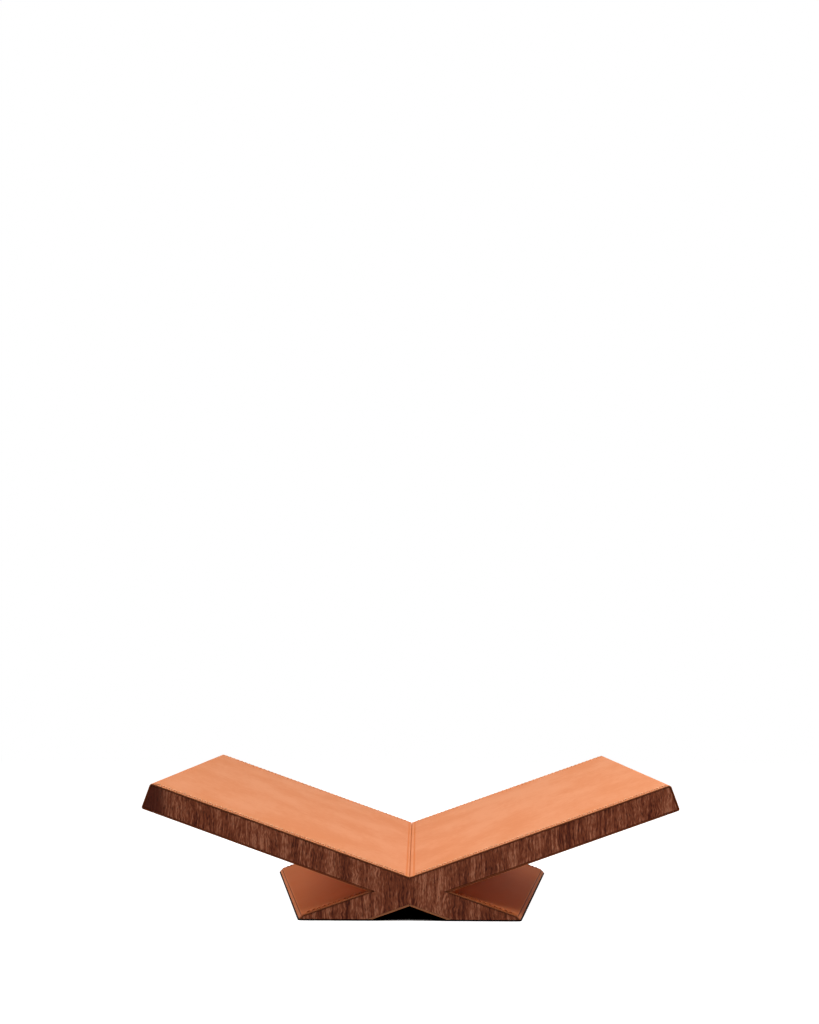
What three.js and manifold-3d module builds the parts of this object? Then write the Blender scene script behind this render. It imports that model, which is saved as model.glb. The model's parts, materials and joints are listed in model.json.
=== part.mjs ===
// A low stand for one open book. Two leather-covered boards cross in an X: each one is a long wing
// on one side and a short leg on the other. The wings meet in a shallow valley that takes the
// book's spine. The X leans forward a little, so its two legs are cut on a slant where they stand,
// and their feet spread towards the back. The legs' leather folds down over their blunt toes.
//
// Millimetres, +Z up, +X to the right, the reader at -Y. The origin is on the table, under the
// middle of the stand's bounding box.

import * as THREE from 'three';
import { mergeVertices } from 'three/addons/utils/BufferGeometryUtils.js';
import Module from 'manifold-3d';

// Driving dimensions
const wingLength = 256;
const standDepth = 300;
const boardThickness = 21;
const wingDegrees = 19.4;
const tiltDegrees = 4.3;
const crossingHeight = 26.6;

// Covers, faces and soles
const leatherThickness = 1.7;
const faceThickness = 2;
const soleThickness = 1.2;
const soleProud = 0.8;
const soleInset = 0.5;
const soleCornerRadius = 3;
const topCornerRadius = 2.8;
const lowerCornerRadius = 2;
const wingReturn = 12;
const toeHeight = 3.8;
const toeDegrees = 47;

// Clearances
const glueLine = 0.3;
const seamGap = 0.3;
const jointClearance = 0.3;

// Facets of a quarter turn, and how far a cutter runs past what it cuts
const cornerSteps = 6;
const overrun = 10;

const wingAngle = THREE.MathUtils.degToRad(wingDegrees);
const tilt = THREE.MathUtils.degToRad(tiltDegrees);
const toeAngle = THREE.MathUtils.degToRad(toeDegrees);
const halfBoard = boardThickness / 2;
const halfSlab = halfBoard + glueLine + leatherThickness;
const quarterTurn = Math.PI / 2;

// Distances along a board from the crossing, positive out to the wing's end
const wingEnd = halfSlab * Math.tan(wingAngle) + wingLength;
const returnEdge = wingEnd - wingReturn;

// The plane that the legs are cut on, just above the soles
const cutHeight = soleThickness + glueLine;
const crossingAboveCut = crossingHeight - cutHeight;
const riseToBack = standDepth * Math.sin(tilt);
const legRun = (crossingHeight + riseToBack + 2 * halfSlab) / Math.sin(wingAngle);

// How far the blunt toe stands in from the edge that the leg would taper to
const toeSetback = toeHeight / Math.tan(wingAngle) - toeHeight / Math.tan(toeAngle);

const colours = {
  leather: { color: 0xe99a6e, roughness: 0.62, metalness: 0 },
  shadedLeather: { color: 0xc07a52, roughness: 0.62, metalness: 0 },
  wood: { color: 0x6b3929, roughness: 0.5, metalness: 0 },
  board: { color: 0xb08a63, roughness: 0.85, metalness: 0 },
  sole: { color: 0x141210, roughness: 0.95, metalness: 0 },
};

const wasm = await Module();
wasm.setup();

function toSolid(geometry) {
  const bare = geometry.clone();
  bare.deleteAttribute('normal');
  bare.deleteAttribute('uv');
  const merged = mergeVertices(bare);
  return new wasm.Manifold(new wasm.Mesh({
    numProp: 3,
    vertProperties: new Float32Array(merged.attributes.position.array),
    triVerts: new Uint32Array(merged.index.array),
  }));
}

function toGeometry(solid) {
  const mesh = solid.getMesh();
  const geometry = new THREE.BufferGeometry();
  geometry.setAttribute('position', new THREE.BufferAttribute(mesh.vertProperties, mesh.numProp));
  geometry.setIndex(new THREE.BufferAttribute(mesh.triVerts, 1));
  geometry.computeVertexNormals();
  return geometry;
}

// A section is drawn on a board: "along" runs from the crossing to the wing's end and "out" is
// square to the board, positive on its upper face. Side 1 is the board whose wing is on the
// right, and side -1 is its mirror image.
function onSection(side, [along, out]) {
  const across = along * Math.cos(wingAngle) - out * Math.sin(wingAngle);
  const up = along * Math.sin(wingAngle) + out * Math.cos(wingAngle);
  return new THREE.Vector2(side * across, up);
}

function sectionShape(side, corners) {
  return new THREE.Shape(corners.map((corner) => onSection(side, corner)));
}

// The section is carried back along the stand's own axis, which is -Z before the stand is turned
function carryBack(shape, front, back) {
  const geometry = new THREE.ExtrudeGeometry(shape, { depth: back - front, bevelEnabled: false });
  return geometry.translate(0, 0, -back);
}

function arc(along, out, radius, start, end) {
  return Array.from({ length: cornerSteps + 1 }, (_, step) => {
    const angle = start + (end - start) * step / cornerSteps;
    return [along + radius * Math.cos(angle), out + radius * Math.sin(angle)];
  });
}

// The wing's end, from its upper face round to its lower one, this far inside the leather
function wingEndOutline(inset) {
  const upper = topCornerRadius - inset;
  const lower = lowerCornerRadius - inset;
  return [
    ...arc(wingEnd - topCornerRadius, halfSlab - topCornerRadius, upper, quarterTurn, 0),
    ...arc(wingEnd - lowerCornerRadius, lowerCornerRadius - halfSlab, lower, 0, -quarterTurn),
  ];
}

// Where a line at this height on the board meets the upright plane between the two wings, or the
// level plane between a wing and a leg, half a seam short of it
function alongAtUpright(out, gap) {
  return (gap + out * Math.sin(wingAngle)) / Math.cos(wingAngle);
}

function alongAtLevel(out, gap) {
  return (gap - out * Math.cos(wingAngle)) / Math.sin(wingAngle);
}

function slabSection(side) {
  return sectionShape(side, [
    [-legRun, halfBoard],
    ...wingEndOutline(leatherThickness + glueLine),
    [-legRun, -halfBoard],
  ]);
}

function wingLeatherSection(side) {
  const inner = halfSlab - leatherThickness;
  return sectionShape(side, [
    [alongAtUpright(halfSlab, seamGap / 2), halfSlab],
    ...wingEndOutline(0),
    [returnEdge, -halfSlab],
    [returnEdge, -inner],
    ...wingEndOutline(leatherThickness).reverse(),
    [alongAtUpright(inner, seamGap / 2), inner],
  ]);
}

function wingUnderSection(side) {
  const inner = halfSlab - leatherThickness;
  return sectionShape(side, [
    [alongAtLevel(-halfSlab, seamGap / 2), -halfSlab],
    [returnEdge - seamGap, -halfSlab],
    [returnEdge - seamGap, -inner],
    [alongAtLevel(-inner, seamGap / 2), -inner],
  ]);
}

function legTopSection(side) {
  const inner = halfSlab - leatherThickness;
  return sectionShape(side, [
    [alongAtLevel(halfSlab, -seamGap / 2), halfSlab],
    [-legRun, halfSlab],
    [-legRun, inner],
    [alongAtLevel(inner, -seamGap / 2), inner],
  ]);
}

function archSection(side) {
  const inner = halfSlab - leatherThickness;
  return sectionShape(side, [
    [alongAtUpright(-halfSlab, -seamGap / 2), -halfSlab],
    [-legRun, -halfSlab],
    [-legRun, -inner],
    [alongAtUpright(-inner, -seamGap / 2), -inner],
  ]);
}

// How far below the crossing the cutting plane lies, measured square to the stand's axis
function dropAt(depth) {
  return (crossingAboveCut + depth * Math.sin(tilt)) / Math.cos(tilt);
}

// Where a leg's upper and lower leather faces would meet the cutting plane, out from the middle
function outerReach(depth) {
  return (dropAt(depth) + halfSlab / Math.cos(wingAngle)) / Math.tan(wingAngle);
}

function innerReach(depth) {
  return (dropAt(depth) - halfSlab / Math.cos(wingAngle)) / Math.tan(wingAngle);
}

// The stand leans about the crossing's front end, and is moved so that its box is centred
const highestPoint = (wingEnd - topCornerRadius) * Math.sin(wingAngle)
  + (halfSlab - topCornerRadius) * Math.cos(wingAngle) + topCornerRadius;
const frontReach = highestPoint * Math.sin(tilt);
const backReach = standDepth * Math.cos(tilt) + dropAt(standDepth) * Math.sin(tilt);
const frontOfCrossing = (frontReach - backReach) / 2;

const leaning = new THREE.Group();
leaning.position.set(0, frontOfCrossing, crossingHeight);
leaning.rotation.x = quarterTurn + tilt;
leaning.updateMatrixWorld(true);

// Everything below the soles' glue line, in the leaning frame
function groundBlock() {
  const reach = 2 * (wingEnd + standDepth);
  const block = new THREE.BoxGeometry(reach, reach, reach);
  block.translate(0, 0, cutHeight - reach / 2);
  return toSolid(block.applyMatrix4(leaning.matrixWorld.clone().invert()));
}

const ground = groundBlock();

// Everything beyond the toe of the leg on one side, or everything short of it, up to a plane this
// far inside the toe's leather face. Each toe is a bevel along the slanted lower edge of its leg.
function toeBlock(side, inset, beyond) {
  const reach = 2 * (wingEnd + standDepth);
  const footAt = (depth) => (
    new THREE.Vector3(side * (outerReach(depth) - toeSetback), -dropAt(depth), -depth)
  );
  const front = footAt(0);
  const edge = footAt(standDepth).sub(front).normalize();
  const inward = new THREE.Vector3(-side * Math.cos(toeAngle), Math.sin(toeAngle), 0);
  const outward = edge.clone().cross(inward).multiplyScalar(side).normalize();
  const rise = outward.clone().cross(edge);
  const block = new THREE.BoxGeometry(reach, reach, reach);
  block.translate(0, 0, (beyond ? reach / 2 : -reach / 2) - inset);
  block.applyMatrix4(new THREE.Matrix4().makeBasis(edge, rise, outward).setPosition(front));
  return toSolid(block);
}

// The leg's upper leather is a plain sheet down to the toe, and a strip of it folds over the toe
function legLeatherGeometry(side) {
  const sheet = toSolid(carryBack(legTopSection(side), 0, standDepth));
  const leg = sectionShape(side, [
    [-legRun, halfSlab],
    [0, halfSlab],
    [0, -halfSlab],
    [-legRun, -halfSlab],
  ]);
  const fold = toSolid(carryBack(leg, 0, standDepth)).subtract(toeBlock(-side, leatherThickness, false));
  return toGeometry(sheet.add(fold).subtract(toeBlock(-side, 0, true)).subtract(ground));
}

function cutAtSole(geometry) {
  return toGeometry(toSolid(geometry).subtract(ground));
}

// Each board has a slot over half its depth, as wide as the other board is thick and slanted as
// it is, so the two boards slide together until each slot's end meets the other's
function boardGeometry(side) {
  const front = faceThickness + glueLine;
  const back = standDepth - faceThickness - glueLine;
  const middle = standDepth / 2;
  const slotHalf = halfBoard + jointClearance;
  const slotSection = sectionShape(-side, [
    [-legRun, slotHalf],
    [wingEnd, slotHalf],
    [wingEnd, -slotHalf],
    [-legRun, -slotHalf],
  ]);
  const slot = side > 0
    ? carryBack(slotSection, front - overrun, middle + jointClearance / 2)
    : carryBack(slotSection, middle - jointClearance / 2, back + overrun);
  const slotted = toSolid(carryBack(slabSection(side), front, back)).subtract(toSolid(slot));
  const toe = toeBlock(-side, leatherThickness + glueLine, true);
  return toGeometry(slotted.subtract(toe).subtract(ground));
}

// A wood face covers the whole X on one side of the stand
function faceGeometry(front) {
  const back = front + faceThickness;
  const crossed = [1, -1].map((side) => {
    const slab = toSolid(carryBack(slabSection(side), front, back));
    return slab.subtract(toeBlock(-side, leatherThickness + glueLine, true));
  });
  return toGeometry(crossed[0].add(crossed[1]).subtract(ground));
}

// A sole follows the slanted cut of its leg. Its corners are rounded by arcs that touch the front
// or back edge and the slanted side.
function soleGeometry(side) {
  const front = soleInset;
  const back = standDepth - soleInset;
  const level = (depth) => depth * Math.cos(tilt) + dropAt(depth) * Math.sin(tilt);
  const outer = (depth) => side * (outerReach(depth) - toeSetback + soleProud);
  const inner = (depth) => side * (innerReach(depth) + soleInset);
  const corners = [
    new THREE.Vector2(inner(front), level(front)),
    new THREE.Vector2(outer(front), level(front)),
    new THREE.Vector2(outer(back), level(back)),
    new THREE.Vector2(inner(back), level(back)),
  ];
  const shape = roundedPolygon(corners, soleCornerRadius);
  return new THREE.ExtrudeGeometry(shape, { depth: soleThickness, bevelEnabled: false });
}

function roundedPolygon(corners, radius) {
  const points = corners.flatMap((corner, index) => {
    const before = corners.at(index - 1).clone().sub(corner).normalize();
    const after = corners[(index + 1) % corners.length].clone().sub(corner).normalize();
    const halfAngle = Math.acos(before.dot(after)) / 2;
    const centre = before.clone().add(after).normalize();
    centre.multiplyScalar(radius / Math.sin(halfAngle)).add(corner);
    const start = before.multiplyScalar(radius / Math.tan(halfAngle)).add(corner).sub(centre);
    const end = after.multiplyScalar(radius / Math.tan(halfAngle)).add(corner).sub(centre);
    const turn = Math.atan2(start.cross(end), start.dot(end));
    return Array.from({ length: cornerSteps + 1 }, (_, step) => (
      start.clone().rotateAround(new THREE.Vector2(), turn * step / cornerSteps).add(centre)
    ));
  });
  return new THREE.Shape(points);
}

function piece(name, geometry, look) {
  const mesh = new THREE.Mesh(geometry, new THREE.MeshStandardMaterial(look));
  mesh.name = name;
  return mesh;
}

function leather(name, section, look) {
  return piece(name, cutAtSole(carryBack(section, 0, standDepth)), look);
}

const stand = new THREE.Group();
stand.add(leaning);

for (const side of [1, -1]) {
  const wing = side > 0 ? 'right' : 'left';
  const leg = side > 0 ? 'left' : 'right';
  leaning.add(
    piece(`${wing}_wing_board`, boardGeometry(side), colours.board),
    leather(`${wing}_wing_leather`, wingLeatherSection(side), colours.leather),
    leather(`${wing}_wing_under_leather`, wingUnderSection(side), colours.shadedLeather),
    piece(`${leg}_leg_leather`, legLeatherGeometry(side), colours.shadedLeather),
    leather(`${leg}_arch_leather`, archSection(side), colours.shadedLeather),
  );
  const sole = piece(`${wing}_sole`, soleGeometry(side), colours.sole);
  sole.position.y = frontOfCrossing;
  stand.add(sole);
}

leaning.add(
  piece('front_wood_face', faceGeometry(0), colours.wood),
  piece('back_wood_face', faceGeometry(standDepth - faceThickness), colours.wood),
);

export default stand;
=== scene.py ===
"""Dresses a low X-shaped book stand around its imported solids: leather covers with pressed creases
and sewn edges, upright-grained wood faces, felt soles, and a plain pale studio.

A board's own coordinates are "along", from the crossing out to the wing's end, "out", square to
the board and positive on its upper face, and "depth", from the stand's front to its back.
"""

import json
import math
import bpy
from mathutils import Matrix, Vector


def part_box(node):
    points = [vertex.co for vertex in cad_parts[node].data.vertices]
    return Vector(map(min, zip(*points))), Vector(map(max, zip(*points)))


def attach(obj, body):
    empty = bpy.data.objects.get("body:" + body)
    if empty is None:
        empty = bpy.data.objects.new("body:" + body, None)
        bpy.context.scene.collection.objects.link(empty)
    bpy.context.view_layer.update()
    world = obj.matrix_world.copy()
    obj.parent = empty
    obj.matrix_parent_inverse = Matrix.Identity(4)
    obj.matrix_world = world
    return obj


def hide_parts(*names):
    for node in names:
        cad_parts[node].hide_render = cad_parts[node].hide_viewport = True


bl_info = {
    "name": "Book Stand",
    "version": (1, 0, 0),
    "blender": (4, 5, 0),
    "location": "3D View > Sidebar > Book Stand",
    "description": "Leather covers, stitching, wood faces and soles of a low book stand",
    "category": "Add Mesh",
}

import bpy
import numpy as np
from bpy.props import FloatProperty, FloatVectorProperty, IntProperty, PointerProperty
from mathutils import Matrix

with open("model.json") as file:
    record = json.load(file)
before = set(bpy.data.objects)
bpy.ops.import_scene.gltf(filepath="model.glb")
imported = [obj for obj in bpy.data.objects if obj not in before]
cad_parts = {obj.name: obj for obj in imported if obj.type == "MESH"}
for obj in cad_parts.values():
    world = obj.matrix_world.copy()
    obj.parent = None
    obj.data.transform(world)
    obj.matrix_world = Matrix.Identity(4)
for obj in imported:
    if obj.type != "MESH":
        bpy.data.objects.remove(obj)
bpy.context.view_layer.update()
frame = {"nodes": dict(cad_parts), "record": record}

MM = 0.001
BODY = "root"
ACROSS = np.array([1.0, 0.0, 0.0])
QUARTER = math.pi / 2

# Each board's side, and the names of its wing and its leg
BOARDS = ((1, "right", "left"), (-1, "left", "right"))

# How finely meshes are divided: steps round a cut edge and a corner, rings to a stitch and across
# a crease, rows near a leather's long edges and between them, and the rings of a lining
ARRIS_STEPS = 3
CORNER_STEPS = 8
STEPS_PER_STITCH = 8
FINE_STEP = 0.25 * MM
EDGE_ZONE = 10 * MM
EDGE_STEPS = 28
MIDDLE_STEPS = 26
LINING_RINGS = 80

# A mesh edge sharper than this stays crisp
CRISP = math.radians(50)

# How far a sheet's outline is drawn in at its rounded ends, as a share of its arris
END_ROUNDNESS = 0.9

# How far past a crease its fine rings go, in half widths, and how many times sooner than at the
# left crease the redder hide beside the valley's seam ends, which is painted shade in the seam
CREASE_REACH = 3
SEAM_FADE = 3

# The broad waves in a hide: how many, and their shortest and longest length
WAVES = 6
WAVE_RANGE = (40 * MM, 120 * MM)

# A stitch's thread: rings and sides, how much thinner its ends are, how far its two plies bulge
# and turn from end to end, and the share of the pitch that is left free beside each hole
THREAD_RINGS = 7
THREAD_SIDES = 8
THREAD_TAPER = 0.35
THREAD_PLIES = 0.14
THREAD_TWIST = 1.5 * math.pi
THREAD_MARGIN = 0.16

# Where the wood starts to darken towards the left wing's end, and where it is darkest
DARK_END = (-219 * MM, -236 * MM)

# The studio: how far the floor goes, the nearest that the camera sees, and each lamp's distance
# in metres, bearing to the right of the viewer and rise in degrees, and size in metres
FLOOR_REACH = 6
NEAREST = 10 * MM
LAMPS = {
    "key": (1.4, 35, 65, 1.0),
    "left": (2.2, -96, 27, 0.8),
    "right": (2.2, 125, 34, 1.2),
    "front": (1.6, 35, 7, 0.9),
}


def reach(node, direction):
    """Lowest and highest distance of a node's corners along a direction."""
    vertices = frame["nodes"][node].data.vertices
    corners = np.empty(3 * len(vertices))
    vertices.foreach_get("co", corners)
    distances = corners.reshape(-1, 3) @ direction
    return distances.min(), distances.max()


# The right wing's upper face points along its mount's axis. That gives the slope of the wings,
# and how far the whole stand leans towards the reader.
MOUNTS = {mount["name"]: mount for mount in frame["record"]["mounts"]}
NORMAL = np.array(MOUNTS["right_page_rest"]["axis"])
SLOPE = math.asin(-NORMAL[0])
LEAN = math.atan2(-NORMAL[1], NORMAL[2])
BACKWARD = np.array([0.0, math.cos(LEAN), math.sin(LEAN)])
UPWARD = np.array([0.0, -math.sin(LEAN), math.cos(LEAN)])
OUTWARD = math.cos(SLOPE) * ACROSS + math.sin(SLOPE) * UPWARD

# The slab is a board with its two leathers. The crossing is where the two slabs' middles meet.
FRONT = reach("front_wood_face", BACKWARD)[0]
DEPTH = reach("back_wood_face", BACKWARD)[1] - FRONT
TOP = reach("right_wing_leather", NORMAL)[1]
BOTTOM, LINING_INNER = reach("right_wing_under_leather", NORMAL)
HALF_SLAB = (TOP - BOTTOM) / 2
LEATHER = LINING_INNER - BOTTOM
CROSSING = FRONT * BACKWARD + (TOP + BOTTOM) / 2 / math.cos(SLOPE) * UPWARD
WING_END = reach("right_wing_leather", OUTWARD)[1] - CROSSING @ OUTWARD
LINING_END = reach("right_wing_under_leather", OUTWARD)[1] - CROSSING @ OUTWARD
HALF_SEAM = reach("right_wing_leather", ACROSS)[0]
CUT_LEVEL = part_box("left_leg_leather")[0].z


def srgb(red, green, blue):
    """A colour as a screen shows it, 0 to 255, in the linear values that Blender mixes."""
    shares = np.array([red, green, blue]) / 255
    linear = np.where(shares <= 0.04045, shares / 12.92, ((shares + 0.055) / 1.055) ** 2.4)
    return tuple(float(value) for value in linear)


def length(name, description, millimetres):
    size = millimetres * MM
    return FloatProperty(name=name, description=description, default=size, unit="LENGTH")


def number(name, description, default):
    return FloatProperty(name=name, description=description, default=default, min=0)


def angle(name, description, degrees):
    turn = math.radians(degrees)
    return FloatProperty(name=name, description=description, default=turn, subtype="ANGLE")


def colour(name, description, red, green, blue):
    return FloatVectorProperty(
        name=name,
        description=description,
        default=srgb(red, green, blue),
        subtype="COLOR",
        min=0,
        max=1,
    )


class BookStandLeather(bpy.types.PropertyGroup):
    """Sizes of the leather covers and of the marks pressed into them."""

    arris: length("Arris", "Rounding of the cut edges", 0.35)
    top_corner: length("Top corner", "Radius over a wing's upper end", 2.8)
    lower_corner: length("Lower corner", "Radius under a wing's end", 2)
    left_crease: length("Left crease", "From the valley's seam to the left crease", 2.8)
    right_crease: length("Right crease", "From the valley's seam to the right crease", 3.8)
    crease_depth: length("Crease depth", "How deep a crease is pressed", 0.2)
    crease_width: length("Crease width", "Half width of a crease", 0.85)
    crease_wave: length("Crease wave", "How far the left crease wanders", 0.5)
    toe_slope: angle("Toe slope", "How steep the bevel over a foot's toe is", 47)
    toe_bend: length("Toe bend", "Radius of the leather's bend over the toe", 1.4)
    toe_crease: length("Toe crease", "From a toe's foot up to the crease in its bevel", 3.6)
    toe_crease_width: length("Toe crease width", "Half width of that crease", 0.5)
    toe_corner: length("Toe corner", "Radius of a foot's far corner in plan", 1.9)
    # The legs' front strip is painted darker, as painted shade; these say how far back from the
    # front edge it reaches, and how strongly
    edge_shade_reach: length("Edge burnish", "How far the legs' front edge is rubbed darker", 9)
    edge_shade_strength: number("Edge rub", "How strongly it is rubbed", 0.8)
    unevenness: length("Unevenness", "Height of the broad waves in the hide", 0.05)
    # The legs are painted a darker, redder hide as painted shade under the wings; the bevel below a
    # toe's crease gets less of it, so it is painted lighter
    toe_shade_red: number("Toe red", "Share of red in the hide below a toe's crease", 0.5)
    leg_shade_red: number("Leg red", "Share of red in the hide on the rest of a leg", 0.85)
    # The linings' cut edges are darkened: dye, and on the wings' linings painted shade as well
    wing_darkening: number("Wing stain", "How far the wing linings' cut edges are dyed", 0.9)
    arch_darkening: number("Arch stain", "How far the arch linings' cut edges are dyed", 0.3)


class BookStandStitching(bpy.types.PropertyGroup):
    """Sizes of the sewn rows along the front and back edges."""

    pitch: length("Pitch", "From one hole to the next", 5.1)
    front_inset: length("Front inset", "From the front edge to its row", 4.2)
    back_inset: length("Back inset", "From the back edge to its row", 4.4)
    thread: length("Thread", "Diameter of the thread", 1.2)
    proud: length("Proud", "How far the thread's middle line stands over the leather", 0.4)
    dive: length("Dive", "How far the thread sinks into its holes", 0.9)
    slant: length("Slant", "How far a stitch leans across its row", 0.4)
    hole_width: length("Hole width", "From a hole's middle to its rim along the row", 1.1)
    hole_reach: length("Hole reach", "From a hole's middle to its rim across the row", 2.0)
    hole_depth: length("Hole depth", "Depth of the dimple round a hole", 0.9)
    sink: length("Sink", "How far the row is drawn into the leather", 0.15)
    back_pull: number("Back pull", "How tightly the back row is pulled, the front's being 1", 0.45)


class BookStandFelt(bpy.types.PropertyGroup):
    """Sizes of the felt soles."""

    arris: length("Arris", "Rounding of the felt's edges", 0.25)
    corner: length("Corner", "Radius of the corners in plan", 3)
    proud: length("Proud", "How far the felt stands past the leather's tip", 0.8)
    inset: length("Inset", "How far it lies inside the leg's inner line", 0.5)


class BookStandColours(bpy.types.PropertyGroup):
    """Colours of the finishes."""

    leather: colour("Leather", "The hide's main colour", 238, 158, 114)
    leather_deep: colour("Deep leather", "The hide's darker clouds", 231, 145, 97)
    # The redder hide is painted shade, on the legs, the linings, the creases and beside the
    # valley's seam
    leather_shade_red: colour("Red leather", "The redder hide of the legs and creases", 224, 126, 66)
    # The leather mark is painted shade in the stitch holes, the pressed lines and on the legs'
    # front strips, with some burnish in the holes; it also flecks raw cut edges
    leather_mark: colour("Leather mark", "Burnished edges and stitch holes", 112, 42, 12)
    cut_edge: colour("Cut edge", "A raw cut edge", 212, 140, 100)
    # The dark edge colour is dye, with painted shade at the foot of each cut edge and on the wing
    # linings' edges
    darkened_edge: colour("Stained edge", "A cut edge that is dyed all the way", 108, 48, 20)
    thread: colour("Thread", "Waxed sewing thread", 255, 198, 150)
    # The legs' threads are painted darker and browner, as painted shade
    thread_in_shade: colour("Worn thread", "The same thread on the legs", 176, 96, 54)
    wood_light: colour("Light grain", "The palest streaks of the wood", 202, 128, 96)
    wood_middle: colour("Middle grain", "The wood's main colour", 142, 71, 43)
    wood_dark: colour("Dark grain", "The darkest bands of the wood", 80, 27, 13)
    wood_pore: colour("Pores", "The open pores", 38, 18, 12)
    board: colour("Board", "The hidden boards", 176, 138, 99)
    # The felt's black is also painted on the floor close under the stand, as its shadow
    felt: colour("Felt", "The soles", 16, 14, 13)
    floor: colour("Floor", "The studio floor", 200, 200, 199)


class BookStandStudio(bpy.types.PropertyGroup):
    """The camera and the lights."""

    camera_place: FloatVectorProperty(
        name="Camera place",
        description="Where the lens is",
        default=(7.36 * MM, -982.64 * MM, 163.11 * MM),
        subtype="TRANSLATION",
        unit="LENGTH",
    )
    camera_rise: angle("Camera rise", "How far above level the camera looks", 8)
    camera_turn: angle("Camera turn", "How far to the left the camera looks", 0.564)
    camera_roll: angle("Camera roll", "Turn about the line of sight", 0.178)
    frame_height: number("Frame height", "Height of the picture behind the lens, in mm", 36)
    focal_length: number("Focal length", "Focal length in mm, for that height", 30.85)
    frame_shift: number("Frame shift", "Rise of the frame, as a share of its height", 0.104)
    ambient: number("Ambient", "Light from all round", 0.03)
    key_level: number("Key level", "Large light over the viewer's right shoulder", 0.8)
    left_level: number("Left level", "Light beside the stand on the left", 0.38)
    right_level: number("Right level", "Light behind the stand on the right", 0.18)
    front_level: number("Front level", "Low light in front", 0.02)


class BookStandSettings(bpy.types.PropertyGroup):
    """Everything that the stand's finish is worked out from."""

    leather: PointerProperty(type=BookStandLeather)
    stitching: PointerProperty(type=BookStandStitching)
    felt: PointerProperty(type=BookStandFelt)
    colours: PointerProperty(type=BookStandColours)
    studio: PointerProperty(type=BookStandStudio)
    seed: IntProperty(name="Seed", description="Start of the random draws", default=7)


def settings():
    return bpy.context.scene.book_stand


# Places in the stand's frame


def place(side, along, out, depth):
    """World points of board coordinates. The crossing, plus each coordinate times its unit
    vector; side 1 is the board whose wing is on the right, and side -1 is its mirror image."""
    lengthwise = side * math.cos(SLOPE) * ACROSS + math.sin(SLOPE) * UPWARD
    normal = -side * math.sin(SLOPE) * ACROSS + math.cos(SLOPE) * UPWARD
    along, out, depth = np.broadcast_arrays(along, out, depth)
    offset = along[..., None] * lengthwise + out[..., None] * normal + depth[..., None] * BACKWARD
    return CROSSING + offset


def along_at_upright(out, gap):
    """Where a line at this height meets the upright plane between the wings, a gap past it."""
    return (gap + out * math.sin(SLOPE)) / math.cos(SLOPE)


def along_at_level(out, gap):
    """Where it meets the level plane between a wing and a leg, a gap above it."""
    return (gap - out * math.cos(SLOPE)) / math.sin(SLOPE)


def along_at_floor(out, depth):
    """Where it meets the plane on which the legs are cut, just above the soles."""
    rise = (CUT_LEVEL - CROSSING[2] - depth * math.sin(LEAN)) / math.cos(LEAN)
    return along_at_level(out, rise)


# Where the upper faces of the two boards' leathers begin, in the valley and in the notches
VALLEY = along_at_upright(HALF_SLAB, HALF_SEAM)
NOTCH = along_at_level(HALF_SLAB, -HALF_SEAM)


# Mesh building


def shell_profile(depths, thickness, arris):
    """The outline of a sheet seen from its end, as depths and heights below its outer face, with
    the unit vectors that point into it. The upper half is a quarter turn, the outer face's
    depths and a quarter turn; the lower half mirrors it, taken the other way round."""
    turn = np.linspace(0, QUARTER, ARRIS_STEPS + 1)
    flat = np.zeros(len(depths) - 2)
    across = np.concatenate([np.cos(turn), flat, -np.sin(turn)])
    down = -np.concatenate([np.sin(turn), flat + 1, np.cos(turn)])
    inward = np.stack([across, down], 1)
    centres = np.stack([np.pad(depths, ARRIS_STEPS, "edge"), np.full(len(down), -arris)], 1)
    upper = centres - arris * inward
    lower = (upper * [1, -1] - [0, thickness])[::-1]
    return np.concatenate([upper, lower]), np.concatenate([inward, (inward * [1, -1])[::-1]])


def shell_faces(rings, count):
    """Quads between neighbouring rings, and a strip of quads across each end: the corners of a
    ring's upper half are joined to those of its lower half."""
    ring = np.arange(rings - 1)[:, None] * count
    here = np.arange(count)[None, :]
    following = (here + 1) % count
    beyond = ring + count
    walls = np.stack([ring + here, ring + following, beyond + following, beyond + here], -1)
    step = np.arange(count // 2 - 1)
    cap = np.stack([step, count - 1 - step, count - 2 - step, step + 1], -1)
    far_cap = cap[:, ::-1] + (rings - 1) * count
    return np.concatenate([walls.reshape(-1, 4), cap, far_cap])


def outward(points, quads):
    """The quads, turned round if the volume that they enclose comes out negative."""
    a, b, c, d = (points[quads[:, corner]] for corner in range(4))
    volume = np.einsum("ij,ij->", np.cross(c - a, d - b), a + b + c + d)
    return quads if volume > 0 else quads[:, ::-1]


def new_object(name, data):
    made = bpy.data.objects.new(name, data)
    bpy.context.scene.collection.objects.link(made)
    return made


def add_mesh(name, points, quads, material, masks=None):
    """A mesh object at the origin, smooth but for its crisp edges, with a named value on each
    point for each mask."""
    points = points.reshape(-1, 3)
    quads = outward(points, quads)
    mesh = bpy.data.meshes.new(name)
    mesh.vertices.add(len(points))
    mesh.vertices.foreach_set("co", points.astype(np.float32).ravel())
    mesh.loops.add(quads.size)
    mesh.loops.foreach_set("vertex_index", quads.astype(np.int32).ravel())
    mesh.polygons.add(len(quads))
    mesh.polygons.foreach_set("loop_start", np.arange(0, quads.size, 4, dtype=np.int32))
    mesh.update(calc_edges=True)
    if mesh.validate():
        raise RuntimeError(f"{name}: the mesh had faults")
    mesh.shade_smooth()
    mesh.set_sharp_from_angle(angle=CRISP)
    for mask, values in (masks or {}).items():
        attribute = mesh.attributes.new(mask, "FLOAT", "POINT")
        attribute.data.foreach_set("value", values.astype(np.float32).ravel())
    mesh.materials.append(material)
    return new_object(name, mesh)


def dress(piece, slot, *nodes):
    """The piece rides on the stand and stands for these nodes, which are hidden. The slot is not
    used.
    """
    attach(piece, BODY)
    if nodes:
        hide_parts(*nodes)


def declare_sheet(width, runs):
    """A sheet's flat size is its width and its longest run, and its area goes by its mean run. This
    only works out width times mean run, and keeps nothing.
    """
    longest, mean = runs
    width * mean


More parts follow.
